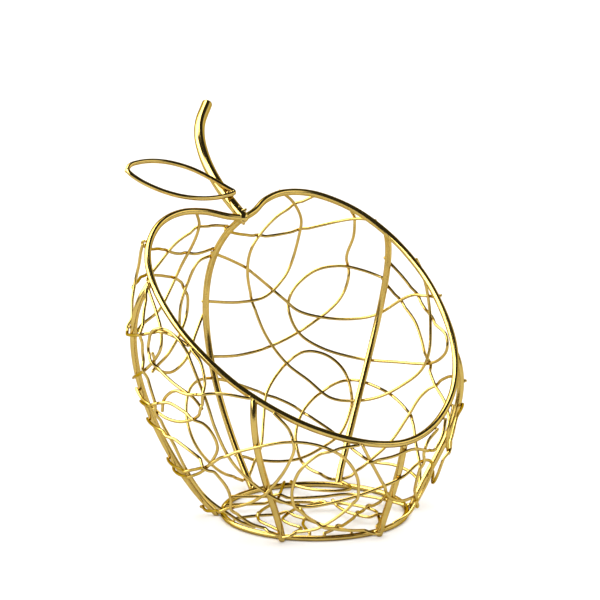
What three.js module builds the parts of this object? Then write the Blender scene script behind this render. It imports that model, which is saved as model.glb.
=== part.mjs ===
// Apple-shaped wire produce basket: a rim hoop, six ribs, a base ring, a stem, a leaf loop and a
// loose scribble of thin fill wires that lies over the outside of the ribs and across the floor.
// Millimetres, +Z up, the front of the basket towards -Y.
import * as THREE from 'three';

// rod and wire diameters
const FRAME_D = 5;
const RING_D = 4;
const STEM_D = 8;
const LEAF_D = 3.5;
const FILL_D = 2.3;

// gaps: between welded neighbours, and between fill wires that cross
const WELD_GAP = 0.5;
const HOP_GAP = 0.6;

// base ring and the plane that the rim, the stem and the leaf are bent in
const RING_R = 66.3;
const RIM_TILT = THREE.MathUtils.degToRad(36);
const RIM_H = 146.5;

// right half of the rim outline in its own plane, from the notch down to the lowest point
const RIM_HALF = [
  [1.3, 184.9], [12, 188.5], [28, 196.6], [48, 200], [72, 193.5], [96, 172.5], [110, 143],
  [114.5, 108], [110.5, 75], [98, 38], [75, 4.5], [50, -17], [24, -30.5], [0, -35],
];

// stem centreline and leaf outline in the plane of the rim, measured from the notch
const NOTCH_V = 184.5;
const STEM_LINE = [
  [-0.8, 5.4], [-1.9, 20], [-1.6, 34], [0.4, 50], [4.5, 65], [11, 80], [20, 93], [36.7, 108.9],
];
const LEAF_LINE = [
  [-0.5, 23.4], [-10.5, 37.5], [-19.5, 47.7], [-32.7, 56.7], [-45.5, 61.4], [-58.3, 62.8],
  [-68, 61.4], [-72.6, 57], [-69.4, 47.9], [-59, 35.8], [-45.4, 26.3], [-30.7, 20.7],
  [-15.9, 18.4], [-1, 18.6],
];

// the wall is swept from meridians: one cubic per azimuth between the base ring and the rim
const WALL_FOOT = [71.4, 2.5];
const LOWER_HANDLE = [[80, 25], [83, 33], [99, 26], [102, 42]];
const UPPER_HANDLE = [[93, 48], [118, 71], [159, 139], [169, 148]];

// ribs: name, azimuth at the foot, azimuth at the rim
const RIBS = [
  ['rib_back', 180, 180], ['rib_front', 0, 0],
  ['rib_front_left', -59, -64], ['rib_front_right', 59, 64],
  ['rib_back_left', -126, -114], ['rib_back_right', 126, 114],
];

// routes of the wall wires as azimuth in degrees, height and, where a wire cuts the corner between
// two ribs, how far inside the wall it runs; RIM stands for the height of the rim
const RIM = 999;
const WALL_WIRES = [
  [[154, RIM], [147.5, 199.5], [144.5, 185], [145.3, 170], [147.7, 150], [150.2, 140], [156, 128.5],
    [165, 126.5], [180, 132]],
  [[138.3, RIM], [147, 196.8], [153.6, 188], [161, 167.5], [162.3, 150], [160.4, 125.6],
    [156.4, 100.3], [149.8, 80.2], [142.5, 68.6], [134, 56.7], [125, 55.4], [115.6, 59.5],
    [106.8, 69.6], [99.5, 83], [97.6, 95], [98.5, 114], [100.6, 142], [102.2, RIM]],
  [[180, 189.5], [172.6, 183], [165, 178], [156.5, 174], [144.5, 176.7], [129.8, 185],
    [126, 186.5], [119, RIM]],
  [[180, 169.5], [169, 158.9], [162.5, 150.6], [150, 125.8], [145, 116.4], [134.8, 111.2],
    [125, 112.4], [119, 117], [111, 129.5], [106.5, 134], [99, 135.5], [88, RIM]],
  [[118.5, 143], [125, 147], [132, 149.4], [140, 145.6], [147.1, 131], [148.4, 118], [145.2, 101],
    [137.4, 90.2], [124, 84.1], [110, 85], [99, 87.7], [92.5, 92.5], [88.3, 102], [89.4, 111.5],
    [96.9, 117.6], [103.7, 130.1], [110, 143.5], [117.5, 158]],
  [[118.8, 142], [112.1, 128], [105.4, 114.7], [102, 104], [97.9, 89.9], [91.3, 76.8],
    [81.4, 68], [70, 57], [61.5, 46]],
  [[128.6, RIM], [127.2, 186], [127.7, 173], [130.2, 156], [129.5, 142], [132.3, 124.8],
    [142.3, 105.7], [154.8, 93.2], [167, 89.3], [180, 92]],
  [[179, 8], [172, 17], [165.2, 28], [161.4, 45], [158.3, 62], [150.2, 80], [143.5, 88],
    [136, 85.5], [129.6, 75.1], [126, 58], [126.5, 44], [129.5, 32.6], [137, 24], [148, 17.5],
    [162, 17.5], [180, 25]],
  [[63.5, 92], [74, 88], [84.5, 84.5], [96.3, 66.5], [100.2, 50], [104.5, 33.5], [112.4, 18.9], [122, 7],
    [135, 6], [145, 13.4], [148.5, 30], [145, 47], [137.4, 60.7], [127.9, 69.2], [115.8, 65.7],
    [104.6, 57.6], [97.1, 48.9], [90, 36], [80, 25], [70, 15], [62.5, 8]],
  [[182, 9], [194, 19], [200, 35], [200, 48], [196.8, 62.4], [190.5, 75], [184, 78], [176, 74.8],
    [164, 65.1], [150, 53.2], [140, 42.2], [130, 32.1], [120.5, 22.7], [111.7, 18.3], [98, 19],
    [81, 18], [64, 14]],
  [[199, RIM], [192.5, 195.4], [190.1, 179.6], [191, 165.8], [194.3, 146.1], [199, 134],
    [209.6, 128.2], [222, 124.5, 2], [233, 140, 8], [243.7, 147.5, 0.5]],
  [[180, 192], [188.7, 194], [196.4, 184], [201, 169.5], [206, 159.5]],
  [[229.7, RIM], [214, 188.5, 5], [202.7, 180.5], [195.3, 174.1], [186.1, 170.7], [180, 172.8]],
  [[180, 167], [184.3, 164], [186.9, 149.4], [189.3, 133], [190.2, 119.5]],
  [[226, 166, 5.5], [217, 165, 4.5], [209, 163.5], [197.9, 158.2], [190.6, 151.3], [186.7, 140],
    [186.8, 125.3], [190.5, 112.5], [197.2, 101.6], [209, 94.5]],
  [[180, 122], [183.5, 110], [189, 95], [197.6, 88.7], [204.1, 93], [206, 106]],
  [[-113, RIM], [-104.4, 163.1], [-99.4, 150.4], [-98.2, 140], [-100.6, 131.3], [-107, 120.8],
    [-120, 108.5]],
  [[-128.5, RIM], [-130, 187, 5], [-130, 176, 6.5], [-128, 161, 6.5], [-124, 150, 6],
    [-121, 143.5, 3], [-118.5, 141.5], [-113, 143.5], [-109, 145.5], [-99.6, 150.8], [-94, 148.5], [-89.5, RIM]],
  [[-81, 104.5], [-84, 111], [-92.6, 120], [-99.5, 129], [-103.3, 137], [-103.2, 146], [-99.4, 152.5],
    [-92.1, 146.5], [-86.5, 133.7], [-79.5, 110.6], [-76.4, 91], [-72.1, 67.3], [-64.7, 50.2],
    [-55.2, 38.5], [-44, 34], [-29.5, 37.7], [-10.5, 45], [1, 50.2], [9, 57.8], [16.3, 57],
    [22.3, 49], [23, 33], [17, 11], [12, 6]],
  [[-88, RIM], [-83.3, 133.3], [-80.2, 118], [-81.8, 100.8], [-89.2, 92.5], [-98.4, 91],
    [-107.5, 95.8], [-115, 97], [-120.5, 100.5]],
  [[-65, RIM], [-74.6, 115.4], [-85, 113.5], [-91.3, 114], [-97, 105.5], [-99.5, 96]],
  [[-111, RIM], [-109, 163], [-107, 148], [-106.3, 133], [-104.5, 117], [-103, 100], [-102.5, 86],
    [-99.6, 70.5], [-98.8, 50], [-95.2, 31], [-84, 19], [-74, 10]],
  [[-120.5, 91], [-110, 94], [-101.8, 100.3], [-95, 104], [-86.5, 98.5], [-79.1, 90.8], [-76.8, 78],
    [-80.8, 65.8], [-90, 52.5], [-105, 43], [-124.5, 39]],
  [[-124.5, 46], [-112, 47.5], [-98.6, 50.5], [-84.8, 60], [-75, 71], [-62.2, 80], [-50, 84],
    [-38, 80.7], [-27.7, 70.4], [-21.6, 53.4], [-21.5, 37.8], [-28.8, 24.6], [-40, 13.7], [-57, 6]],
  [[-55.5, RIM], [-49.7, 92], [-47.8, 80], [-50.6, 66.9], [-57, 51.2], [-67.3, 36.3], [-84.3, 25],
    [-105, 15], [-122, 11]],
  [[-124, 76], [-113, 77.5], [-102.5, 77.8], [-91, 70], [-83.3, 59.7], [-78.5, 44], [-80, 24],
    [-72.8, 14.3], [-60, 8]],
  [[-22.3, RIM], [-32.4, 77.5], [-39.5, 73.5], [-46.5, 61.5], [-49.7, 40], [-44.1, 25.8],
    [-33, 15.5], [-18, 8.5], [-3, 5]],
  [[-20.5, RIM], [-16.6, 66.5], [-9.7, 48.8], [-4, 36], [4.7, 29.5], [15, 29]],
  [[19.5, RIM], [12.5, 71.8], [11.2, 52], [13.3, 34.7], [22, 19]],
  [[-18, 67], [-8, 68], [3, 70.5], [13.6, 65.8], [19.5, 63.5], [24.5, 71], [27, RIM]],
  [[36, RIM], [30, 74], [33, 60], [45, 49], [62, 52]],
  [[62, 28], [50, 25], [39, 34], [33.5, 48], [39, 64, 1], [48, 73, 3], [62.5, 76]],
];

// routes of the floor wires as x and y, ends on the base ring
const FLOOR_WIRES = [
  [[3, -65], [11, -58.8], [20, -47], [26.5, -36], [25, -18], [15.6, -2], [-2, 4.2], [-11.4, 5],
    [-26.7, -1.4], [-37.4, -9.1], [-40.5, -20], [-41, -34], [-52, -39]],
  [[-63, 14], [-50, 11], [-36, 4], [-27.2, -2.5], [-24.4, -20], [-24, -38], [-18, -62]],
  [[22, 61], [3.3, 42.7], [-13.2, 27.9], [-38, 15.3], [-51.6, 0.4], [-55, -19], [-57, -31]],
  [[27, 59], [23, 50], [26.6, 32.8], [38, 19], [48, 17], [52.5, 23], [55, 34]],
  [[-30, 57.5], [-10, 40], [2.8, 25.3], [18.7, 15.6], [37, 9], [46.2, -6.1], [51, -28], [52, -38]],
  [[16, -1], [11.3, -16.3], [9.6, -28], [13, -44], [21, -49]],
  [[64, -9], [45.3, -20.8], [16.5, -31.4], [2.2, -39.7], [-17, -49], [-36, -53.5]],
  [[-9.5, 8], [-16.5, -7.4], [-23, -17], [-33.6, -27], [-44, -47]],
  [[-47, 44], [-22.3, 28.3], [-7.1, 19.3], [6, 8], [10, -3]],
];

// heights of the rib feet and of the lowest wall wire, how far under the rim's middle a wall wire
// stops, and the height where the ribs start to lean
const RIB_FOOT = 2;
const WIRE_LOW = 3.2;
const RIM_DROP = 1.8;
const LEAN_FROM = 10;

// a wall wire is free to tuck in to the base ring below this height, away from the ribs' azimuths
const TUCK_TOP = 16;
const RIB_NEAR = 5;
const RIB_FAR = 13;

// path sampling, the chord error allowed in a bend, and how a fill wire hops over another
const SAMPLE_STEP = 1.5;
const FLATNESS = 0.24;
const HOP_LENGTH = 7;
const SELF_CLEAR = 16;

// ---- wall surface ----

const rimHalf = new THREE.CatmullRomCurve3(
  [...RIM_HALF, ...RIM_HALF.slice(0, -1).reverse().map(([x, v]) => [-x, v])]
    .map(([x, v]) => planePoint(x, v, 0)),
  false, 'centripetal');

function planePoint(x, v, out) {
  const c = Math.cos(RIM_TILT);
  const s = Math.sin(RIM_TILT);
  return new THREE.Vector3(x, v * c - RIM_H * c * s - out * s, v * s + RIM_H * c * c + out * c);
}

const rimTable = rimHalf.getPoints(900).filter((p) => p.x >= 0)
  .map((p) => ({ az: azimuth(p), r: Math.hypot(p.x, p.y), z: p.z }))
  .sort((a, b) => a.az - b.az);

function azimuth(p) {
  return THREE.MathUtils.radToDeg(Math.atan2(p.x, -p.y));
}

function rimAt(az) {
  const a = Math.abs(THREE.MathUtils.euclideanModulo(az + 180, 360) - 180);
  let hi = rimTable.findIndex((q) => q.az >= a);
  if (hi < 0) hi = rimTable.length - 1;
  if (hi === 0) hi = 1;
  const p = rimTable[hi - 1];
  const q = rimTable[hi];
  const t = THREE.MathUtils.clamp((a - p.az) / (q.az - p.az), 0, 1);
  return [p.r + (q.r - p.r) * t, p.z + (q.z - p.z) * t];
}

// blends four handles given at azimuths 0, 60, 120 and 180 with the even cosine series through them
function blendHandles(handles, az) {
  const stations = [0, 60, 120, 180];
  return [0, 1].map((k) => {
    let sum = 0;
    for (let i = 0; i < 4; i++) {
      let weight = 1;
      for (let j = 0; j < 4; j++) {
        if (j === i) continue;
        weight *= (cosDeg(az) - cosDeg(stations[j])) / (cosDeg(stations[i]) - cosDeg(stations[j]));
      }
      sum += weight * handles[i][k];
    }
    return sum;
  });
}

function cosDeg(a) {
  return Math.cos(THREE.MathUtils.degToRad(a));
}

function cubic(t, a, b, c, d) {
  const u = 1 - t;
  return u * u * u * a + 3 * u * u * t * b + 3 * u * t * t * c + t * t * t * d;
}

// point of the wall at an azimuth and a height, moved outwards along the wall's normal
function wallPoint(az, height, out) {
  const [rimR, rimZ] = rimAt(az);
  const lower = blendHandles(LOWER_HANDLE, az);
  const upper = blendHandles(UPPER_HANDLE, az);
  const at = (t) => [
    cubic(t, WALL_FOOT[0], lower[0], upper[0], rimR),
    cubic(t, WALL_FOOT[1], lower[1], upper[1], rimZ),
  ];
  let lo = 0;
  let hi = 1;
  for (let i = 0; i < 24; i++) {
    const mid = (lo + hi) / 2;
    if (at(mid)[1] < height) lo = mid;
    else hi = mid;
  }
  const t = (lo + hi) / 2;
  const step = 0.01;
  const before = at(Math.max(0, t - step));
  const after = at(Math.min(1, t + step));
  const length = Math.hypot(after[0] - before[0], after[1] - before[1]);
  const [r, z] = at(t);
  const radial = r + out * (after[1] - before[1]) / length;
  const rise = -out * (after[0] - before[0]) / length;
  const a = THREE.MathUtils.degToRad(az);
  return new THREE.Vector3(radial * Math.sin(a), -radial * Math.cos(a), z + rise);
}

// ---- paths ----

// a path through given vertices that hands them to the extrusion unchanged
class VertexPath extends THREE.Curve {
  constructor(vertices) {
    super();
    this.vertices = vertices;
  }

  getPoint(t, target = new THREE.Vector3()) {
    const last = this.vertices.length - 1;
    const i = Math.min(Math.floor(t * last + 1e-9), last - 1);
    return target.lerpVectors(this.vertices[i], this.vertices[i + 1], t * last - i);
  }

  getPointAt(u, target) {
    return this.getPoint(u, target);
  }

  getSpacedPoints() {
    return this.vertices.map((v) => v.clone());
  }

  getTangentAt(u, target = new THREE.Vector3()) {
    const last = this.vertices.length - 1;
    const i = Math.round(u * last);
    const inward = this.vertices[Math.max(i, 1)].clone().sub(this.vertices[Math.max(i, 1) - 1]);
    const j = Math.min(i, last - 1);
    const onward = this.vertices[j + 1].clone().sub(this.vertices[j]);
    return target.copy(inward.normalize().add(onward.normalize())).normalize();
  }
}

// drops the vertices that lie within the flatness of the chord between the ones kept
function simplify(points, flatness) {
  const keep = new Set([0, points.length - 1]);
  const split = (a, b) => {
    const chord = new THREE.Line3(points[a], points[b]);
    const foot = new THREE.Vector3();
    let worst = flatness;
    let at = -1;
    for (let i = a + 1; i < b; i++) {
      chord.closestPointToPoint(points[i], true, foot);
      const d = foot.distanceTo(points[i]);
      if (d > worst) {
        worst = d;
        at = i;
      }
    }
    if (at < 0) return;
    keep.add(at);
    split(a, at);
    split(at, b);
  };
  split(0, points.length - 1);
  return [...keep].sort((a, b) => a - b).map((i) => points[i]);
}

function rodShape(diameter, sides) {
  const corners = [];
  for (let i = 0; i < sides; i++) {
    const a = 2 * Math.PI * (i + 0.5) / sides;
    corners.push(new THREE.Vector2(diameter / 2 * Math.cos(a), diameter / 2 * Math.sin(a)));
  }
  return new THREE.Shape(corners);
}

function rod(vertices, diameter, sides) {
  const path = new VertexPath(vertices);
  return new THREE.ExtrudeGeometry(rodShape(diameter, sides), {
    steps: vertices.length - 1, extrudePath: path, bevelEnabled: false,
  });
}

function smoothLine(points) {
  const curve = new THREE.CatmullRomCurve3(points, false, 'centripetal');
  return curve.getSpacedPoints(Math.max(4, Math.round(curve.getLength() / SAMPLE_STEP)));
}

// ---- fill wires: laid one after another, each hopping over the ones it meets ----

function layWires(routes, layOut) {
  const laid = [];
  return routes.map((samples) => {
    const keys = samples.map((sample) => layOut(sample));
    const base = keys.map((k) => k(0));
    const need = base.map((p, i) => {
      let rise = 0;
      for (const other of [...laid, ownPast(base, i)]) {
        rise = Math.max(rise, riseOver(p, other));
      }
      return rise;
    });
    const rises = base.map((p, i) => {
      let rise = 0;
      for (let j = 0; j < base.length; j++) {
        const run = Math.abs(i - j) * SAMPLE_STEP;
        if (need[j] === 0 || run >= HOP_LENGTH) continue;
        rise = Math.max(rise, need[j] * Math.cos(Math.PI * run / (2 * HOP_LENGTH)) ** 2);
      }
      return rise;
    });
    laid.push({ base, rises });
    return simplify(keys.map((k, i) => k(rises[i])), FLATNESS);
  });
}

// the part of a wire's own path that it has already passed well before sample i
function ownPast(base, i) {
  const until = Math.max(0, i - SELF_CLEAR);
  return { base: base.slice(0, until), rises: new Array(until).fill(0) };
}

function riseOver(p, other) {
  const reach = FILL_D + HOP_GAP;
  let rise = 0;
  for (let i = 0; i < other.base.length; i++) {
    const d = p.distanceTo(other.base[i]);
    if (d < reach) rise = Math.max(rise, other.rises[i] + Math.sqrt(reach * reach - d * d));
  }
  return rise;
}

// how far a wall wire stands off the wall: over the ribs, but tucked in to the base ring between them
function standOff(az, height) {
  const full = FRAME_D / 2 + WELD_GAP + FILL_D / 2;
  const tucked = RING_R + RING_D / 2 + WELD_GAP + FILL_D / 2 - WALL_FOOT[0];
  let ribAway = 180;
  for (const [, foot] of RIBS) {
    const gap = Math.abs(THREE.MathUtils.euclideanModulo(az - foot + 180, 360) - 180);
    ribAway = Math.min(ribAway, gap);
  }
  const raised = Math.max(
    THREE.MathUtils.smoothstep(height, WIRE_LOW, TUCK_TOP),
    1 - THREE.MathUtils.smoothstep(ribAway, RIB_NEAR, RIB_FAR));
  return tucked + (full - tucked) * raised;
}

function highest(az) {
  return rimAt(az)[1] - RIM_DROP;
}

// samples along a wall route, each a point of the wall and how far inside it the wire cuts the corner
function wallSamples(route) {
  const points = route.map(([az, height]) => wallPoint(az, Math.min(height, highest(az)), 0));
  const curve = new THREE.CatmullRomCurve3(points, false, 'centripetal');
  const count = Math.round(curve.getLength() / SAMPLE_STEP);
  const spans = route.length - 1;
  const samples = [];
  for (let k = 0; k <= count; k++) {
    const t = curve.getUtoTmapping(k / count);
    const i = Math.min(Math.floor(t * spans), spans - 1);
    const [before, after] = [route[i], route[i + 1]].map(([, , inset = 0]) => inset);
    const share = THREE.MathUtils.smoothstep(t * spans - i, 0, 1);
    samples.push({ point: curve.getPoint(t), inset: THREE.MathUtils.lerp(before, after, share) });
  }
  return samples;
}

const wallLines = layWires(WALL_WIRES.map(wallSamples), ({ point, inset }) => {
  const az = azimuth(point);
  const height = THREE.MathUtils.clamp(point.z, WIRE_LOW, highest(az));
  return (rise) => wallPoint(az, height, standOff(az, height) - inset + rise);
});

const FLOOR_Z = RING_D + WELD_GAP + FILL_D / 2;
const floorLines = layWires(
  FLOOR_WIRES.map((route) => smoothLine(route.map(([x, y]) => new THREE.Vector3(x, y, FLOOR_Z)))),
  (p) => (rise) => new THREE.Vector3(p.x, p.y, FLOOR_Z + rise));

// ---- frame ----

function ribLine([, footAz, rimAz]) {
  const top = rimAt(rimAz)[1];
  const points = [];
  const count = 60;
  for (let i = 0; i <= count; i++) {
    const height = RIB_FOOT + (top - RIB_FOOT) * i / count;
    const az = footAz + (rimAz - footAz) * Math.max(0, height - LEAN_FROM) / (top - LEAN_FROM);
    points.push(wallPoint(az, Math.max(height, WALL_FOOT[1]), 0));
    if (height < WALL_FOOT[1]) points[i].z = height;
  }
  const end = points[points.length - 1].clone();
  const clear = FRAME_D / 2 + WELD_GAP;
  return simplify(points.filter((p) => p.distanceTo(end) > clear), FLATNESS);
}

// octagonal section with a flat underside, turned about the vertical axis
function baseRing() {
  const section = [];
  const sides = 8;
  const radius = RING_D / 2 / Math.cos(Math.PI / sides);
  for (let i = 0; i <= sides; i++) {
    const a = 2 * Math.PI * (i + 0.5) / sides;
    section.push(new THREE.Vector2(RING_R + radius * Math.cos(a), RING_D / 2 + radius * Math.sin(a)));
  }
  return new THREE.LatheGeometry(section, 48).rotateX(Math.PI / 2);
}

const rimLine = simplify(rimHalf.getSpacedPoints(520), FLATNESS);
const stemLine = simplify(
  smoothLine(STEM_LINE.map(([x, v]) => planePoint(x, NOTCH_V + v, 0))), FLATNESS);
const leafOut = STEM_D / 2 + WELD_GAP + LEAF_D / 2;
const leafLine = simplify(
  smoothLine(LEAF_LINE.map(([x, v]) => planePoint(x, NOTCH_V + v, leafOut))), FLATNESS);

// ---- assembly ----

const basket = new THREE.Group();
basket.name = 'apple_wire_basket';

function add(name, geometry, colour, roughness) {
  const material = new THREE.MeshStandardMaterial({ color: colour, roughness, metalness: 1 });
  const mesh = new THREE.Mesh(geometry, material);
  mesh.name = name;
  basket.add(mesh);
}

add('base_ring', baseRing(), 0xd8b968, 0.28);
add('rim_hoop', rod(rimLine, FRAME_D, 8), 0xd8b968, 0.25);
for (const rib of RIBS) add(rib[0], rod(ribLine(rib), FRAME_D, 7), 0xd6b664, 0.27);
add('stem', rod(stemLine, STEM_D, 10), 0xdcc074, 0.24);
add('leaf_loop', rod(leafLine, LEAF_D, 7), 0xdcc074, 0.25);
const number = (i) => String(i + 1).padStart(2, '0');
wallLines.forEach((line, i) => add(`wall_wire_${number(i)}`, rod(line, FILL_D, 5), 0xd2ae58, 0.3));
floorLines.forEach((line, i) => add(`floor_wire_${number(i)}`, rod(line, FILL_D, 5), 0xd2ae58, 0.3));

// the origin is under the middle of the whole basket, on the plane it stands on
const middle = new THREE.Box3().setFromObject(basket).getCenter(new THREE.Vector3());
for (const mesh of basket.children) mesh.geometry.translate(-middle.x, -middle.y, 0);

export default basket;
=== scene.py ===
"""Looks of the apple-shaped wire produce basket: polished gold-coloured rods, wires and welds.

Lengths are in millimetres until a mesh is made, measured from the middle of the base ring's underside.
"""

import math

import bmesh
import bpy
import numpy as np
from mathutils import Matrix, Vector


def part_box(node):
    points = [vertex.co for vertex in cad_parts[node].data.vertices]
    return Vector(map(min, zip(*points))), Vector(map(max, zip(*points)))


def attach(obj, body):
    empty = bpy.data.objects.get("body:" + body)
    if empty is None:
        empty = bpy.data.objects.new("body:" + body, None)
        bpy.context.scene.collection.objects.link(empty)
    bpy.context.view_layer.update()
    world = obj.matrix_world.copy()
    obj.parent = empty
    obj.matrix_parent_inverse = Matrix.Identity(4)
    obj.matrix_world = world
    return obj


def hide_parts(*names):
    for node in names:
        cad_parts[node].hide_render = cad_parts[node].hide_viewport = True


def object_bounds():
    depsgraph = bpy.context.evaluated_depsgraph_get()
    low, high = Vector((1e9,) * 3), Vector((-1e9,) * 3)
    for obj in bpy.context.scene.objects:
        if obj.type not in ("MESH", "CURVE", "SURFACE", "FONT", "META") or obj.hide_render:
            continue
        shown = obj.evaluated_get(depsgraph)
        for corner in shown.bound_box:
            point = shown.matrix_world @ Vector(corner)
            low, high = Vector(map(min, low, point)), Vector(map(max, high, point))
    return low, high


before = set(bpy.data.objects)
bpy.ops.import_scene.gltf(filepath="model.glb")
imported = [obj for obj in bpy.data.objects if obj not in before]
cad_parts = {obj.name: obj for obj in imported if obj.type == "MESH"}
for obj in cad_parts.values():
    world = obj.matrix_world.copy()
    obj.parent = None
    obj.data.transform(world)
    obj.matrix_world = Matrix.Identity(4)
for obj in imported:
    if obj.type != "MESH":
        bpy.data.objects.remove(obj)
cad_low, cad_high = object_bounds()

MM = 0.001
rng = np.random.default_rng(7)

# ---- driving dimensions ----

FRAME_D = 5.0
RING_D = 4.0
STEM_D = 8.0
LEAF_D = 3.5
FILL_D = 2.3

# how far two welded pieces sink into each other
RIB_BITE = 0.05
WIRE_BITE = 0.25

RING_R = 66.3
RIM_TILT = math.radians(36)
RIM_H = 146.5
RIM_HALF = [
    (1.3, 184.9), (12, 188.5), (28, 196.6), (48, 200), (72, 193.5), (96, 172.5), (110, 143),
    (114.5, 108), (110.5, 75), (98, 38), (75, 4.5), (50, -17), (24, -30.5), (0, -35),
]

NOTCH_V = 184.5
STEM_LINE = [
    (-0.5, 0.5), (-0.8, 5.4), (-1.9, 20), (-1.6, 34), (0.4, 50), (4.5, 65), (11, 80), (20, 93),
    (36.7, 108.9),
]
LEAF_LINE = [
    (1.2, 21.4), (-0.6, 23.6), (-10.5, 37.5), (-19.5, 47.7), (-32.7, 56.7), (-45.5, 61.4),
    (-58.3, 62.8), (-68, 61.4), (-72.6, 57), (-69.4, 47.9), (-59, 35.8), (-45.4, 26.3),
    (-30.7, 20.7), (-15.9, 18.4), (-1, 19.0), (1.1, 20.0),
]

WALL_FOOT = (71.4, 2.5)
LOWER_HANDLE = [(80, 25), (83, 33), (99, 26), (102, 42)]
UPPER_HANDLE = [(93, 48), (118, 71), (159, 139), (169, 148)]

# ribs: CAD node, azimuth at the foot, azimuth at the rim
RIBS = [
    ("rib_back", 180, 180), ("rib_front", 0, 0),
    ("rib_front_left", -59, -64), ("rib_front_right", 59, 64),
    ("rib_back_left", -126, -114), ("rib_back_right", 126, 114),
]

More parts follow.
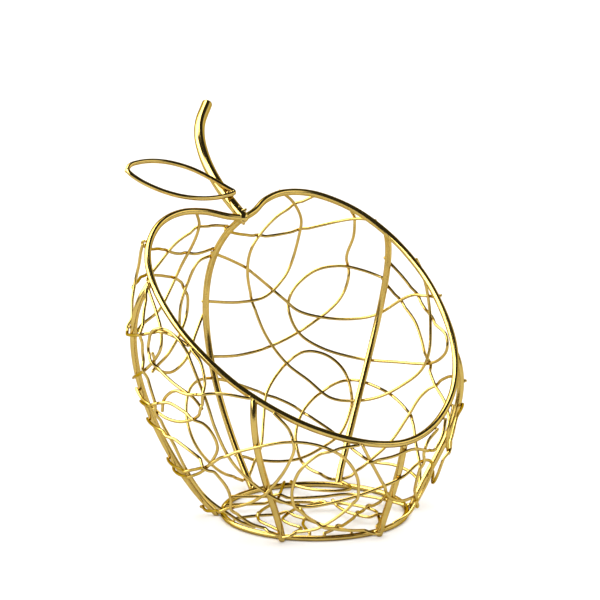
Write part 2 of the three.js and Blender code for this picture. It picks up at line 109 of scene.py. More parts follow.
# routes of the wall wires as azimuth in degrees, height and, where a wire cuts the corner between
# two ribs, how far inside the wall it runs; RIM stands for the height of the rim
RIM = 999
WALL_WIRES = [
    [(154, RIM), (147.5, 199.5), (144.5, 185), (145.3, 170), (147.7, 150), (150.2, 140), (156, 128.5),
      (165, 126.5), (180, 132)],
    [(138.3, RIM), (147, 196.8), (153.6, 188), (161, 167.5), (162.3, 150), (160.4, 125.6),
      (156.4, 100.3), (149.8, 80.2), (142.5, 68.6), (134, 56.7), (125, 55.4), (115.6, 59.5),
      (106.8, 69.6), (99.5, 83), (97.6, 95), (98.5, 114), (100.6, 142), (102.2, RIM)],
    [(180, 189.5), (172.6, 183), (165, 178), (156.5, 174), (144.5, 176.7), (129.8, 185),
      (126, 186.5), (119, RIM)],
    [(180, 169.5), (169, 158.9), (162.5, 150.6), (150, 125.8), (145, 116.4), (134.8, 111.2),
      (125, 112.4), (119, 117), (111, 129.5), (106.5, 134), (99, 135.5), (88, RIM)],
    [(118.5, 143), (125, 147), (132, 149.4), (140, 145.6), (147.1, 131), (148.4, 118), (145.2, 101),
      (137.4, 90.2), (124, 84.1), (110, 85), (99, 87.7), (92.5, 92.5), (88.3, 102), (89.4, 111.5),
      (96.9, 117.6), (103.7, 130.1), (110, 143.5), (117.5, 158)],
    [(118.8, 142), (112.1, 128), (105.4, 114.7), (102, 104), (97.9, 89.9), (91.3, 76.8),
      (81.4, 68), (70, 57), (61.5, 46)],
    [(128.6, RIM), (127.2, 186), (127.7, 173), (130.2, 156), (129.5, 142), (132.3, 124.8),
      (142.3, 105.7), (154.8, 93.2), (167, 89.3), (180, 92)],
    [(179, 8), (172, 17), (165.2, 28), (161.4, 45), (158.3, 62), (150.2, 80), (143.5, 88),
      (136, 85.5), (129.6, 75.1), (126, 58), (126.5, 44), (129.5, 32.6), (137, 24), (148, 17.5),
      (162, 17.5), (180, 25)],
    [(63.5, 92), (74, 88), (84.5, 84.5), (96.3, 66.5), (100.2, 50), (104.5, 33.5), (112.4, 18.9),
      (122, 7), (135, 6), (145, 13.4), (148.5, 30), (145, 47), (137.4, 60.7), (127.9, 69.2), (115.8, 65.7),
      (104.6, 57.6), (97.1, 48.9), (90, 36), (80, 25), (70, 15), (62.5, 8)],
    [(182, 9), (194, 19), (200, 35), (200, 48), (196.8, 62.4), (190.5, 75), (184, 78), (176, 74.8),
      (164, 65.1), (150, 53.2), (140, 42.2), (130, 32.1), (120.5, 22.7), (111.7, 18.3), (98, 19),
      (81, 18), (64, 14)],
    [(199, RIM), (192.5, 195.4), (190.1, 179.6), (191, 165.8), (194.3, 146.1), (199, 134),
      (209.6, 128.2), (222, 124.5, 2), (233, 140, 8), (243.7, 147.5, 0.5)],
    [(180, 192), (188.7, 194), (196.4, 184), (201, 169.5), (206, 159.5)],
    [(229.7, RIM), (214, 188.5, 5), (202.7, 180.5), (195.3, 174.1), (186.1, 170.7), (180, 172.8)],
    [(180, 167), (184.3, 164), (186.9, 149.4), (189.3, 133), (190.2, 119.5)],
    [(226, 166, 5.5), (217, 165, 4.5), (209, 163.5), (197.9, 158.2), (190.6, 151.3), (186.7, 140),
      (186.8, 125.3), (190.5, 112.5), (197.2, 101.6), (209, 94.5)],
    [(180, 122), (183.5, 110), (189, 95), (197.6, 88.7), (204.1, 93), (206, 106)],
    [(-113, RIM), (-104.4, 163.1), (-99.4, 150.4), (-98.2, 140), (-100.6, 131.3), (-107, 120.8),
      (-120, 108.5)],
    [(-128.5, RIM), (-130, 187, 5), (-130, 176, 6.5), (-128, 161, 6.5), (-124, 150, 6),
      (-121, 143.5, 3), (-118.5, 141.5), (-113, 143.5), (-109, 145.5), (-99.6, 150.8), (-94, 148.5),
      (-89.5, RIM)],
    [(-81, 104.5), (-84, 111), (-92.6, 120), (-99.5, 129), (-103.3, 137), (-103.2, 146), (-99.4, 152.5),
      (-92.1, 146.5), (-86.5, 133.7), (-79.5, 110.6), (-76.4, 91), (-72.1, 67.3), (-64.7, 50.2),
      (-55.2, 38.5), (-44, 34), (-29.5, 37.7), (-10.5, 45), (1, 50.2), (9, 57.8), (16.3, 57),
      (22.3, 49), (23, 33), (17, 11), (12, 6)],
    [(-88, RIM), (-83.3, 133.3), (-80.2, 118), (-81.8, 100.8), (-89.2, 92.5), (-98.4, 91),
      (-107.5, 95.8), (-115, 97), (-120.5, 100.5)],
    [(-65, RIM), (-74.6, 115.4), (-85, 113.5), (-91.3, 114), (-97, 105.5), (-99.5, 96)],
    [(-111, RIM), (-109, 163), (-107, 148), (-106.3, 133), (-104.5, 117), (-103, 100), (-102.5, 86),
      (-99.6, 70.5), (-98.8, 50), (-95.2, 31), (-84, 19), (-74, 10)],
    [(-120.5, 91), (-110, 94), (-101.8, 100.3), (-95, 104), (-86.5, 98.5), (-79.1, 90.8), (-76.8, 78),
      (-80.8, 65.8), (-90, 52.5), (-105, 43), (-124.5, 39)],
    [(-124.5, 46), (-112, 47.5), (-98.6, 50.5), (-84.8, 60), (-75, 71), (-62.2, 80), (-50, 84),
      (-38, 80.7), (-27.7, 70.4), (-21.6, 53.4), (-21.5, 37.8), (-28.8, 24.6), (-40, 13.7), (-57, 6)],
    [(-55.5, RIM), (-49.7, 92), (-47.8, 80), (-50.6, 66.9), (-57, 51.2), (-67.3, 36.3), (-84.3, 25),
      (-105, 15), (-122, 11)],
    [(-124, 76), (-113, 77.5), (-102.5, 77.8), (-91, 70), (-83.3, 59.7), (-78.5, 44), (-80, 24),
      (-72.8, 14.3), (-60, 8)],
    [(-22.3, RIM), (-32.4, 77.5), (-39.5, 73.5), (-46.5, 61.5), (-49.7, 40), (-44.1, 25.8),
      (-33, 15.5), (-18, 8.5), (-3, 5)],
    [(-20.5, RIM), (-16.6, 66.5), (-9.7, 48.8), (-4, 36), (4.7, 29.5), (15, 29)],
    [(19.5, RIM), (12.5, 71.8), (11.2, 52), (13.3, 34.7), (22, 19)],
    [(-18, 67), (-8, 68), (3, 70.5), (13.6, 65.8), (19.5, 63.5), (24.5, 71), (27, RIM)],
    [(36, RIM), (30, 74), (33, 60), (45, 49), (62, 52)],
    [(62, 28), (50, 25), (39, 34), (33.5, 48), (39, 64, 1), (48, 73, 3), (62.5, 76)],
]

# routes of the floor wires as x and y, ends on the base ring
FLOOR_WIRES = [
    [(3, -65), (11, -58.8), (20, -47), (26.5, -36), (25, -18), (15.6, -2), (-2, 4.2), (-11.4, 5),
      (-26.7, -1.4), (-37.4, -9.1), (-40.5, -20), (-41, -34), (-52, -39)],
    [(-63, 14), (-50, 11), (-36, 4), (-27.2, -2.5), (-24.4, -20), (-24, -38), (-18, -62)],
    [(22, 61), (3.3, 42.7), (-13.2, 27.9), (-38, 15.3), (-51.6, 0.4), (-55, -19), (-57, -31)],
    [(27, 59), (23, 50), (26.6, 32.8), (38, 19), (48, 17), (52.5, 23), (55, 34)],
    [(-30, 57.5), (-10, 40), (2.8, 25.3), (18.7, 15.6), (37, 9), (46.2, -6.1), (51, -28), (52, -38)],
    [(16, -1), (11.3, -16.3), (9.6, -28), (13, -44), (21, -49)],
    [(64, -9), (45.3, -20.8), (16.5, -31.4), (2.2, -39.7), (-17, -49), (-36, -53.5)],
    [(-9.5, 8), (-16.5, -7.4), (-23, -17), (-33.6, -27), (-44, -47)],
    [(-47, 44), (-22.3, 28.3), (-7.1, 19.3), (6, 8), (10, -3)],
]

# heights: the ribs' lower ends, the lowest wires, and how far below the rim the wires stop
RIB_FOOT = 2.0
WIRE_LOW = 3.2
RIM_DROP = 1.8
# the side ribs lean from this height upwards
LEAN_FROM = 10.0
# below this height the wires tuck in to the ring, except within these angles of a rib
TUCK_TOP = 16.0
RIB_NEAR = 5.0
RIB_FAR = 13.0
# spacing of the points along every line
STEP = 1.0
# a wire starts to rise this far before a crossing, and may meet itself only this much further on
HOP_LENGTH = 6.0
SELF_CLEAR = 24.0

# welds: the gap that still counts as a contact, their sizes, and how far their heat colours the metal
CONTACT_GAP = 0.9
HEAD_WELD = 2.5
FOOT_WELD = 2.0
HEAT_REACH = 2.6
# each as x across, v up the rim's slope, out of its plane, and radius
NOTCH_WELDS = [
    (0, 0.5, 0, 3.9), (-2.6, 1.8, 0.6, 2.6), (2.6, 1.5, 0.4, 2.8), (0.4, 4, 3, 2.2),
    (-0.6, 8, 3.2, 1.4), (-1.5, -2, -1.5, 2.4),
]
LEAF_WELDS = [(0.4, 21, 2.1), (-2.4, 21.4, 1.6), (-73, 57.4, 1.7)]

# colours of the polished gold and of heated metal
ROD_GOLD = (0.53, 0.376, 0.103)
STEM_GOLD = (0.54, 0.385, 0.11)
WIRE_GOLD = (0.525, 0.372, 0.102)
WELD_GOLD = (0.52, 0.37, 0.12)
EDGE_GOLD = (0.50, 0.38, 0.18)
BURNT_GOLD = (0.36, 0.24, 0.09)

# ---- curves ----


def smooth_line(points, step=STEP, closed=False):
    """Centripetal Catmull-Rom curve through points, sampled evenly along its length."""
    p = np.asarray(points, float)
    if closed:
        p = np.vstack([p[-1:], p, p[:2]])
    else:
        p = np.vstack([2 * p[:1] - p[1:2], p, 2 * p[-1:] - p[-2:-1]])
    t = np.linspace(0, 1, 24, endpoint=False)[:, None]
    dense = []
    for a, b, c, d in zip(p, p[1:], p[2:], p[3:]):
        ab, bc, cd = (max(np.linalg.norm(v[:3]) ** 0.5, 1e-6) for v in (b - a, c - b, d - c))
        m1 = ((b - a) / ab - (c - a) / (ab + bc) + (c - b) / bc) * bc
        m2 = ((c - b) / bc - (d - b) / (bc + cd) + (d - c) / cd) * bc
        h = (2 * b - 2 * c + m1 + m2) * t ** 3 + (3 * c - 3 * b - 2 * m1 - m2) * t ** 2
        dense.append(h + m1 * t + b)
    dense = np.vstack([*dense, p[-2][None]])
    return resample(dense, step)


def resample(line, step):
    run = np.concatenate([[0], np.cumsum(np.linalg.norm(np.diff(line[:, :3], axis=0), axis=1))])
    s = np.linspace(0, run[-1], max(5, round(run[-1] / step)) + 1)
    return np.column_stack([np.interp(s, run, column) for column in line.T])


def plane_point(x, v, out=0.0):
    """Point of the rim's plane: x across, v up the slope, out along the plane's normal."""
    c, s = math.cos(RIM_TILT), math.sin(RIM_TILT)
    return (x, v * c - RIM_H * c * s - out * s, v * s + RIM_H * c * c + out * c)


def azimuth(p):
    return np.degrees(np.arctan2(p[..., 0], -p[..., 1]))


mirrored = [(-x, v) for x, v in RIM_HALF[-2::-1]]
rim_line = smooth_line([plane_point(x, v) for x, v in RIM_HALF + mirrored])
right_half = rim_line[rim_line[:, 0] >= 0]
right_half = right_half[np.argsort(azimuth(right_half))]


def rim_at(az):
    """Radius and height of the rim at an azimuth."""
    a = np.abs((np.asarray(az, float) + 180) % 360 - 180)
    table = azimuth(right_half)
    radius = np.interp(a, table, np.hypot(right_half[:, 0], right_half[:, 1]))
    return radius, np.interp(a, table, right_half[:, 2])


# ---- wall surface ----


def blend_handles(handles, az):
    """Handles given at azimuths 0, 60, 120 and 180, joined by the even cosine series through them."""
    stations = np.cos(np.radians([0, 60, 120, 180]))
    c = np.cos(np.radians(az))
    total = np.zeros((2,) + c.shape)
    for i, station in enumerate(stations):
        weight = np.ones_like(c)
        for j, other in enumerate(stations):
            if j != i:
                weight = weight * (c - other) / (station - other)
        total += weight * np.array(handles[i], float).reshape(2, *[1] * c.ndim)
    return total


def cubic(t, a, b, c, d):
    u = 1 - t
    return u ** 3 * a + 3 * u * u * t * b + 3 * u * t * t * c + t ** 3 * d


def wall_point(az, height, out):
    """Points of the wall at azimuths and heights, moved outwards along its normal."""
    az, height, out = np.broadcast_arrays(*(np.asarray(v, float) for v in (az, height, out)))
    rim_r, rim_z = rim_at(az)
    lower, upper = blend_handles(LOWER_HANDLE, az), blend_handles(UPPER_HANDLE, az)

    def at(t):
        radius = cubic(t, WALL_FOOT[0], lower[0], upper[0], rim_r)
        return radius, cubic(t, WALL_FOOT[1], lower[1], upper[1], rim_z)

    lo, hi = np.zeros_like(az), np.ones_like(az)
    for _ in range(24):
        mid = (lo + hi) / 2
        below = at(mid)[1] < height
        lo, hi = np.where(below, mid, lo), np.where(below, hi, mid)
    t = (lo + hi) / 2
    r0, z0 = at(np.clip(t - 0.01, 0, 1))
    r1, z1 = at(np.clip(t + 0.01, 0, 1))
    length = np.hypot(r1 - r0, z1 - z0)
    r, z = at(t)
    r, z = r + out * (z1 - z0) / length, z - out * (r1 - r0) / length
    a = np.radians(az)
    return np.stack([r * np.sin(a), -r * np.cos(a), z], axis=-1)


def smoothstep(x, low, high):
    t = np.clip((x - low) / (high - low), 0, 1)
    return t * t * (3 - 2 * t)


def stand_off(az, height):
    """How far a wall wire stands off the wall: over the ribs, tucked in to the base ring between them."""
    full = (FRAME_D + FILL_D) / 2 - RIB_BITE
    tucked = RING_R + (RING_D + FILL_D) / 2 - RIB_BITE - WALL_FOOT[0]
    away = np.min([np.abs((az - foot + 180) % 360 - 180) for _, foot, _ in RIBS], axis=0)
    raised = np.maximum(smoothstep(height, WIRE_LOW, TUCK_TOP), 1 - smoothstep(away, RIB_NEAR, RIB_FAR))
    return tucked + (full - tucked) * raised


# ---- fill wires, laid one after another, each bending over the ones it meets ----


def gaps(a, b):
    return np.linalg.norm(a[:, None] - b[None], axis=2)


def runs(mask):
    """Start and end of each unbroken run of true values."""
    edge = np.diff(np.concatenate([[0], mask.astype(int), [0]]))
    return zip(np.flatnonzero(edge == 1), np.flatnonzero(edge == -1))


def lay_wires(flats, lay_out):
    reach = FILL_D - WIRE_BITE
    laid, lines, welds = [], [], []
    for flat in flats:
        place = lay_out(flat)
        base = place(np.zeros(len(flat)))
        need = np.zeros(len(base))
        meets = []
        for other_base, other_rise in laid:
            d = gaps(base, other_base)
            over = other_rise[None] + np.sqrt(np.maximum(reach ** 2 - d ** 2, 0))
            need = np.maximum(need, np.where(d < reach, over, 0).max(axis=1))
            meets.append(d)
        own = gaps(base, base)
        index = np.arange(len(base))
        passed = index[None] < index[:, None] - SELF_CLEAR / STEP
        over = np.where((own < reach) & passed, np.sqrt(np.maximum(reach ** 2 - own ** 2, 0)), 0)
        need = np.maximum(need, over.max(axis=1))
        away = np.abs(index[:, None] - index[None]) * STEP
        hop = np.where(away < HOP_LENGTH, np.cos(np.pi * away / (2 * HOP_LENGTH)) ** 2, 0)
        rise = (need[None] * hop).max(axis=1)
        line = place(rise)
        for d, other in zip(meets, lines):
            for start, end in runs(d.min(axis=1) < reach / 2):
                i = start + int(np.argmin(d[start:end].min(axis=1)))
                j = int(np.argmin(d[i]))
                welds.append((line[i] + other[j]) / 2)
        laid.append((base, rise))
        lines.append(line)
    return lines, welds


def on_wall(flat):
    az = azimuth(flat)
    height = np.clip(flat[:, 2], WIRE_LOW, rim_at(az)[1] - RIM_DROP)
    return lambda rise: wall_point(az, height, stand_off(az, height) - flat[:, 3] + rise)


FLOOR_Z = RING_D + FILL_D / 2 - RIB_BITE


def on_floor(flat):
    return lambda rise: np.column_stack([flat[:, :2], FLOOR_Z + rise])


def wall_route(route):
    az, height, inset = np.array([(*stop, 0)[:3] for stop in route], float).T
    points = wall_point(az, np.minimum(height, rim_at(az)[1] - RIM_DROP), 0)
    return smooth_line(np.column_stack([points, inset]))


wall_lines, wall_welds = lay_wires([wall_route(r) for r in WALL_WIRES], on_wall)
floor_lines, floor_welds = lay_wires(
    [smooth_line([(x, y, 0) for x, y in r]) for r in FLOOR_WIRES], on_floor)


def rib_line(foot_az, rim_az):
    top = float(rim_at(rim_az)[1])
    height = np.linspace(RIB_FOOT, top, 240)
    az = foot_az + (rim_az - foot_az) * np.maximum(0, height - LEAN_FROM) / (top - LEAN_FROM)
    line = wall_point(az, np.maximum(height, WALL_FOOT[1]), 0)
    line[:, 2] = np.where(height < WALL_FOOT[1], height, line[:, 2])
    clear = FRAME_D * 0.4
    return resample(line[np.linalg.norm(line - line[-1], axis=1) > clear], STEP)


rib_lines = {name: rib_line(foot, top) for name, foot, top in RIBS}
turn = np.linspace(0, 2 * np.pi, 240, endpoint=False)
ring_line = np.column_stack([RING_R * np.cos(turn), RING_R * np.sin(turn), turn * 0 + RING_D / 2])
stem_line = smooth_line([plane_point(x, NOTCH_V + v) for x, v in STEM_LINE])
leaf_out = (STEM_D + LEAF_D) / 2 - RIB_BITE
leaf_line = smooth_line([plane_point(x, NOTCH_V + v, leaf_out) for x, v in LEAF_LINE], closed=True)[:-1]

# ---- welds: where a fill wire touches a rod, and where the rods themselves join ----


def touches(lines, rod, rod_d):
    """Contact points of the wires with a rod, one for each place where they meet."""
    found = []
    for line in lines:
        d = gaps(line, rod)
        for start, end in runs(d.min(axis=1) < (rod_d + FILL_D) / 2 + CONTACT_GAP):
            i = start + int(np.argmin(d[start:end].min(axis=1)))
            centre = rod[int(np.argmin(d[i]))]
            found.append(centre + (line[i] - centre) * rod_d / (rod_d + FILL_D))
    return found


rod_welds = touches(wall_lines, rim_line, FRAME_D)
for rib in rib_lines.values():
    rod_welds += touches(wall_lines, rib, FRAME_D)
rod_welds += touches(wall_lines + floor_lines, ring_line, RING_D)
joint_welds = []
for rib in rib_lines.values():
    head = rim_line[np.argmin(gaps(rim_line, rib[-1:])[:, 0])]
    joint_welds.append((rib[-1] * 0.7 + head * 0.3, HEAD_WELD))
    foot = ring_line[np.argmin(gaps(ring_line, rib[:1])[:, 0])]
    joint_welds.append(((rib[0] + foot) / 2 + (0, 0, 0.8), FOOT_WELD))
all_welds = np.array(wall_welds + floor_welds + rod_welds + [p for p, _ in joint_welds])

# ---- meshes ----

ring_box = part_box("base_ring")
ring_middle = (Vector(ring_box[0]) + Vector(ring_box[1])) / 2
ORIGIN = np.array([ring_middle.x, ring_middle.y, ring_box[0][2]])
box_low, box_high = ((np.array(corner) - ORIGIN) / MM for corner in (cad_low, cad_high))


def frames(line, closed):
    """Tangent and two side vectors along a line, turned as little as possible from one to the next."""
    if closed:
        tangent = np.roll(line, -1, axis=0) - np.roll(line, 1, axis=0)
    else:
        tangent = np.gradient(line, axis=0)
    tangent /= np.linalg.norm(tangent, axis=1)[:, None]
    first = np.cross(tangent[0], (0.3, 0.2, 0.93))
    side = [first / np.linalg.norm(first)]
    for t in tangent[1:]:
        s = side[-1] - t * np.dot(side[-1], t)
        side.append(s / np.linalg.norm(s))
    side = np.array(side)
    if closed:
        last = side[-1] - tangent[0] * np.dot(side[-1], tangent[0])
        twist = math.atan2(np.dot(np.cross(last, side[0]), tangent[0]), np.dot(last, side[0]))
        angle = np.linspace(0, twist, len(line), endpoint=False)[:, None]
        across = np.cross(tangent, side)
        side = side * np.cos(angle) + across * np.sin(angle)
    return tangent, side, np.cross(tangent, side)


def sway(count, length):
    """Smooth random wander between -1 and 1, for the slight unevenness of bent wire."""
    knots = max(4, int(count * STEP / length) + 2)
    values = rng.uniform(-1, 1, knots)
    x = np.linspace(0, knots - 1, count)
    i = np.minimum(x.astype(int), knots - 2)
    t = smoothstep(x - i, 0, 1)
    return values[i] * (1 - t) + values[i + 1] * t


def rod(name, line, diameter, sides, closed=False, ends=("round", "round"), uneven=0.012):
    """A round rod along a line, its ends rounded or cut flat with a small chamfer."""
    tangent, side, across = frames(line, closed)
    radius = diameter / 2 * (1 - uneven * (1 + sway(len(line), 9)) / 2)
    if closed:
        radius[-8:] = radius[-9] + (radius[0] - radius[-9]) * np.linspace(0, 1, 8)
    centres = list(zip(line, radius, side, across))
    if not closed:
        centres = end_rings(line[0], -tangent[0], centres[0], ends[0])[::-1] + centres
        centres = centres + end_rings(line[-1], tangent[-1], centres[-1], ends[1])
    angle = np.linspace(0, 2 * np.pi, sides, endpoint=False)
    verts = []
    for centre, r, s, a in centres:
        ring = np.cos(angle)[:, None] * s + np.sin(angle)[:, None] * a
        verts.append(centre + r * ring)
    count = len(centres)
    # nothing reaches past the CAD's box, so the feet are ground flat where they meet the table
    verts = np.clip(np.vstack(verts), box_low, box_high)
    faces = []
    for k in range(count if closed else count - 1):
        a, b = k * sides, (k + 1) % count * sides
        faces += [(a + i, a + (i + 1) % sides, b + (i + 1) % sides, b + i) for i in range(sides)]
    if not closed:
        faces.append(tuple(range(sides))[::-1])
        faces.append(tuple((count - 1) * sides + i for i in range(sides)))
    run = np.concatenate([[0], np.cumsum(np.linalg.norm(np.diff([c[0] for c in centres], axis=0), axis=1))])
    return mesh_object(name, verts, faces, np.repeat(run, sides), np.tile(angle / (2 * np.pi), count))


def end_rings(tip, onward, last, form):
    """Rings that close a rod's end: a dome, or a flat cut with a small chamfer."""
    _, radius, side, across = last
    if form == "round":
        steps = [(math.sin(a), math.cos(a)) for a in np.radians([25, 50, 72, 86])]
    else:
        steps = [(-0.02, 0.995), (0.0, 0.93), (0.0, 0.5)]
    return [(tip + onward * radius * along, radius * wide, side, across) for along, wide in steps]


def mesh_object(name, verts, faces, along=None, around=None):
    """A mesh on the basket's body, in metres, with the run of the wire and its nearness to welds."""
    mesh = bpy.data.meshes.new(name)
    mesh.from_pydata(((verts * MM) + ORIGIN).tolist(), [], faces)
    mesh.shade_smooth()
    chunk = 4000
    near = np.concatenate([
        gaps(verts[start:start + chunk], all_welds).min(axis=1) for start in range(0, len(verts), chunk)])
    heat = mesh.attributes.new("heat", "FLOAT", "POINT")
    heat.data.foreach_set("value", np.exp(-(near / HEAT_REACH) ** 2).astype(np.float32))
    if along is not None:
        for key, values in (("along", along), ("around", around)):
            mesh.attributes.new(key, "FLOAT", "POINT").data.foreach_set("value", values.astype(np.float32))
    obj = bpy.data.objects.new(name, mesh)
    bpy.context.scene.collection.objects.link(obj)
    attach(obj, "root")
    return obj


def beads(name, places, sizes, flatten=0.75, rough=0.22):
    """Small uneven lumps of weld metal."""
    verts, faces = [], []
    ball_v, ball_f = icosphere()
    for place, size in zip(places, sizes):
        turn_by = np.array(Matrix.Rotation(rng.uniform(0, 2 * math.pi), 3, rng.normal(size=3)))
        lumps = rng.normal(size=(5, 3))
        lumps /= np.linalg.norm(lumps, axis=1)[:, None]
        swell = 1 + rough * np.sum(np.maximum(ball_v @ lumps.T, 0) ** 6 - 0.1, axis=1)
        body = ball_v * swell[:, None] * (1, 1, flatten)
        faces += [tuple(len(verts) * len(ball_v) + i for i in f) for f in ball_f]
        verts.append(body @ turn_by.T * size + place)
    return mesh_object(name, np.vstack(verts), faces)


def icosphere():
    ball = bmesh.new()
    bmesh.ops.create_icosphere(ball, subdivisions=3, radius=1)
    verts = np.array([v.co for v in ball.verts])
    faces = [tuple(v.index for v in f.verts) for f in ball.faces]
    ball.free()
    return verts, faces


# ---- materials ----


def math_node(tree, operation, a, b):
    """A Math node on two values, each a number or another node's output."""
    made = tree.nodes.new("ShaderNodeMath")
    made.operation = operation
    for socket, value in zip(made.inputs, (a, b)):
        if isinstance(value, (int, float)):
            socket.default_value = value
        else:
            tree.links.new(value, socket)
    return made.outputs[0]


def wire_gold(name, colour, roughness, streaks):
    """Polished gold-coloured plating on drawn wire: faint lengthwise streaks, specks and weld heat."""
    material = bpy.data.materials.new(name)
    material.use_nodes = True
    nodes, links = material.node_tree.nodes, material.node_tree.links
    shader = nodes["Principled BSDF"]
    shader.inputs["Metallic"].default_value = 1.0
    shader.inputs["Specular Tint"].default_value = (*EDGE_GOLD, 1)

    def node(kind, **inputs):
        made = nodes.new(kind)
        for key, value in inputs.items():
            made.inputs[key.replace("_", " ")].default_value = value
        return made

    def attribute(key):
        made = nodes.new("ShaderNodeAttribute")
        made.attribute_name = key
        return made.outputs["Fac"]

    def combine(operation, a, b):
        return math_node(material.node_tree, operation, a, b)

    where = nodes.new("ShaderNodeTexCoord").outputs["Object"]
    cloud = node("ShaderNodeTexNoise", Scale=90.0, Detail=3.0)
    fine = node("ShaderNodeTexNoise", Scale=1400.0, Detail=2.0)
    for texture in (cloud, fine):
        links.new(where, texture.inputs["Vector"])

    drawn = nodes.new("ShaderNodeCombineXYZ")
    links.new(combine("MULTIPLY", attribute("around"), streaks), drawn.inputs[0])
    links.new(combine("MULTIPLY", attribute("along"), 0.12), drawn.inputs[1])
    streak = node("ShaderNodeTexNoise", Scale=1.0, Detail=4.0)
    links.new(drawn.outputs[0], streak.inputs["Vector"])

    tint = nodes.new("ShaderNodeValToRGB")
    tint.color_ramp.elements[0].position = 0.3
    tint.color_ramp.elements[0].color = (*[c * 0.86 for c in colour], 1)
    tint.color_ramp.elements[1].position = 0.7
    tint.color_ramp.elements[1].color = (*[min(1, c * 1.06) for c in colour], 1)
    links.new(cloud.outputs["Fac"], tint.inputs["Fac"])

    burnt = nodes.new("ShaderNodeMix")
    burnt.data_type = "RGBA"
    burnt.inputs["B"].default_value = (*BURNT_GOLD, 1)
    links.new(tint.outputs["Color"], burnt.inputs["A"])
    heat = combine("MULTIPLY", attribute("heat"), fine.outputs["Fac"])
    links.new(heat, burnt.inputs["Factor"])
    links.new(burnt.outputs["Result"], shader.inputs["Base Color"])

    rough = combine("ADD", roughness - 0.05, combine("MULTIPLY", cloud.outputs["Fac"], 0.1))
    rough = combine("ADD", rough, combine("MULTIPLY", heat, 0.16))
    links.new(rough, shader.inputs["Roughness"])

    height = combine("ADD", combine("MULTIPLY", streak.outputs["Fac"], 0.6), fine.outputs["Fac"])
    bump = node("ShaderNodeBump", Strength=0.16, Distance=0.0001)
    links.new(height, bump.inputs["Height"])
    links.new(bump.outputs["Normal"], shader.inputs["Normal"])
    return material


rod_gold = wire_gold("polished_gold_rod", ROD_GOLD, 0.15, 34.0)
stem_gold = wire_gold("polished_gold_stem", STEM_GOLD, 0.12, 46.0)
fill_gold = wire_gold("polished_gold_wire", WIRE_GOLD, 0.15, 16.0)
weld_gold = wire_gold("weld_gold", WELD_GOLD, 0.22, 4.0)


def finish_piece(obj, material, slot, *nodes):
    obj.data.materials.append(material)
    if nodes:
        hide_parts(*nodes)


# ---- the basket ----

ring = rod("base_ring_rod", ring_line, RING_D, 20, closed=True)
finish_piece(ring, rod_gold, "frame_rod", "base_ring")
rim = rod("rim_hoop_rod", rim_line, FRAME_D, 24)
finish_piece(rim, rod_gold, "frame_rod", "rim_hoop")
for rib_name, line in rib_lines.items():
    finish_piece(rod(rib_name + "_rod", line, FRAME_D, 24), rod_gold, "frame_rod", rib_name)
stem = rod("stem_rod", stem_line, STEM_D, 32, ends=("round", "flat"))
finish_piece(stem, stem_gold, "stem_and_leaf", "stem")
leaf = rod("leaf_loop_wire", leaf_line, LEAF_D, 20, closed=True)
finish_piece(leaf, stem_gold, "stem_and_leaf", "leaf_loop")
for prefix, lines in (("wall_wire", wall_lines), ("floor_wire", floor_lines)):
    for number, line in enumerate(lines, 1):
        wire = rod(f"{prefix}_{number:02d}_bent", line, FILL_D, 14, uneven=0.02)
        finish_piece(wire, fill_gold, "fill_wire", f"{prefix}_{number:02d}")

small = wall_welds + floor_welds
finish_piece(beads("crossing_welds", small, rng.uniform(0.75, 1.05, len(small))), weld_gold, "fill_wire")
finish_piece(
    beads("wire_end_welds", rod_welds, rng.uniform(0.9, 1.35, len(rod_welds))), weld_gold, "fill_wire")
finish_piece(
    beads("rod_joint_welds", *zip(*joint_welds), flatten=0.85), weld_gold, "frame_rod")
notch = [plane_point(x, NOTCH_V + v, out) for x, v, out, _ in NOTCH_WELDS]
notch_sizes = [size for *_, size in NOTCH_WELDS]
finish_piece(beads("notch_weld", notch, notch_sizes, rough=0.3), weld_gold, "stem_and_leaf")
leaf_spots = [plane_point(x, NOTCH_V + v, leaf_out - 1) for x, v, _ in LEAF_WELDS]
leaf_sizes = [size for *_, size in LEAF_WELDS]
finish_piece(beads("leaf_weld", leaf_spots, leaf_sizes), weld_gold, "stem_and_leaf")

# ---- floor, light and camera ----

CAMERA_AZIMUTH = math.radians(-39.82)
CAMERA_ELEVATION = math.radians(14.73)
CAMERA_RIGHT = Vector((math.cos(CAMERA_AZIMUTH), math.sin(CAMERA_AZIMUTH), 0))
CAMERA_FRONT = Vector((math.sin(CAMERA_AZIMUTH), -math.cos(CAMERA_AZIMUTH), 0))
CAMERA_BACK = CAMERA_FRONT * math.cos(CAMERA_ELEVATION) + Vector((0, 0, math.sin(CAMERA_ELEVATION)))
CAMERA_UP = CAMERA_BACK.cross(CAMERA_RIGHT)
# from the middle of the base ring to the camera, along its own axes
CAMERA_OFFSET = (-10.61, 153.79, 3579.86)
CAMERA_LENS = 297.92
SENSOR_WIDTH = 36
VIEW_DISTANCE = 50
FLOOR_HALF = 12.0

# strengths: the overhead lamp, the even light that all but mirrored rays see, and what is mirrored
KEY_STRENGTH = 0.4
KEY_ANGLE = math.radians(70)
EVEN_LIGHT = 1.28
SWEEP_LEVEL = 1.1
LEFT_BOX_LEVEL = 8.0
RIGHT_BOX_LEVEL = 2.0
DARK_ROOM = 0.03
# the left soft box starts this far round from the camera
LEFT_BOX_TURN = math.radians(39)
LEFT_BOX_EDGE = CAMERA_RIGHT * math.cos(LEFT_BOX_TURN) + CAMERA_FRONT * math.sin(LEFT_BOX_TURN)


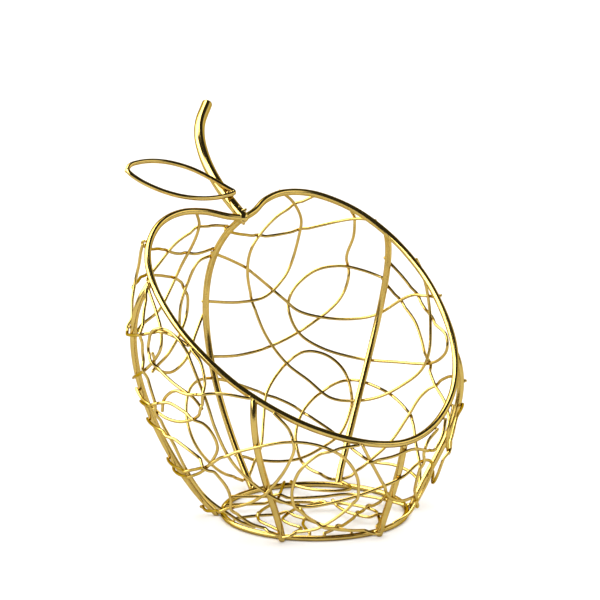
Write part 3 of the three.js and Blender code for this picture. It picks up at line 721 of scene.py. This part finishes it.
def make_floor():
    mesh = bpy.data.meshes.new("floor")
    half = FLOOR_HALF
    corners = [(-half, -half, 0), (half, -half, 0), (half, half, 0), (-half, half, 0)]
    mesh.from_pydata(corners, [], [(0, 1, 2, 3)])
    floor = bpy.data.objects.new("floor", mesh)
    bpy.context.scene.collection.objects.link(floor)
    paint = bpy.data.materials.new("floor_white")
    paint.use_nodes = True
    shader = paint.node_tree.nodes["Principled BSDF"]
    shader.inputs["Base Color"].default_value = (0.93, 0.93, 0.93, 1)
    shader.inputs["Roughness"].default_value = 0.9
    shader.inputs["Specular IOR Level"].default_value = 0.1
    mesh.materials.append(paint)


def make_world():
    """Studio that the basket mirrors: pale sweep behind, soft boxes at the sides, dark room elsewhere.

    All rays but mirrored ones see an even white light instead, which keeps the floor free of colour.
    """
    world = bpy.data.worlds.new("studio")
    bpy.context.scene.world = world
    world.use_nodes = True
    nodes, links = world.node_tree.nodes, world.node_tree.links
    direction = nodes.new("ShaderNodeTexCoord").outputs["Generated"]

    def along(axis):
        made = nodes.new("ShaderNodeVectorMath")
        made.operation = "DOT_PRODUCT"
        made.inputs[1].default_value = axis
        links.new(direction, made.inputs[0])
        return made.outputs["Value"]

    def ramp(value, low, high, level=1.0):
        made = nodes.new("ShaderNodeMapRange")
        made.interpolation_type = "SMOOTHSTEP"
        made.inputs["From Min"].default_value = low
        made.inputs["From Max"].default_value = high
        made.inputs["To Max"].default_value = level
        links.new(value, made.inputs["Value"])
        return made.outputs["Result"]

    def combine(operation, a, b):
        return math_node(world.node_tree, operation, a, b)

    front, side, up = along(CAMERA_FRONT), along(CAMERA_RIGHT), along((0, 0, 1))
    sweep = combine("MULTIPLY", ramp(front, -0.1, -0.4, SWEEP_LEVEL), ramp(up, 0.64, 0.44))
    near = combine("MULTIPLY", ramp(along(LEFT_BOX_EDGE), 0.0, -0.12), ramp(front, 0.0, 0.12))
    over = combine("MULTIPLY", ramp(front, -0.24, -0.32), ramp(side, 0.08, -0.04))
    left = combine("MAXIMUM", ramp(side, -0.56, -0.68), combine("MAXIMUM", near, over))
    left = combine("MULTIPLY", left, ramp(front, -0.72, -0.6, LEFT_BOX_LEVEL))
    left = combine("MULTIPLY", left, ramp(up, 0.12, 0.28))
    right = combine("MULTIPLY", ramp(side, 0.70, 0.84, RIGHT_BOX_LEVEL), ramp(up, 0.12, 0.3))
    studio = combine("MAXIMUM", sweep, combine("MAXIMUM", left, right))
    studio = combine("MAXIMUM", studio, DARK_ROOM)
    glossy = nodes.new("ShaderNodeLightPath").outputs["Is Glossy Ray"]
    even = combine("MULTIPLY", combine("SUBTRACT", 1.0, glossy), EVEN_LIGHT)
    light = combine("ADD", combine("MULTIPLY", studio, glossy), even)
    background = nodes["Background"]
    links.new(light, background.inputs["Strength"])
    background.inputs["Color"].default_value = (1, 1, 1, 1)


def make_key_light():
    """A broad overhead light for the floor; the basket doesn't mirror it."""
    data = bpy.data.lights.new("overhead", "SUN")
    data.energy = KEY_STRENGTH
    data.angle = KEY_ANGLE
    key = bpy.data.objects.new("overhead", data)
    key.visible_glossy = False
    bpy.context.scene.collection.objects.link(key)


def make_camera():
    data = bpy.data.cameras.new("camera")
    data.lens = CAMERA_LENS
    data.sensor_width = SENSOR_WIDTH
    data.clip_end = VIEW_DISTANCE
    camera = bpy.data.objects.new("camera", data)
    bpy.context.scene.collection.objects.link(camera)
    axes = Matrix((CAMERA_RIGHT, CAMERA_UP, CAMERA_BACK)).transposed()
    place = Vector(ORIGIN) + axes @ Vector(CAMERA_OFFSET) * MM
    camera.matrix_world = Matrix.Translation(place) @ axes.to_4x4()
    bpy.context.scene.camera = camera


make_floor()
make_world()
make_key_light()
make_camera()
bpy.context.scene.view_settings.view_transform = "Standard"
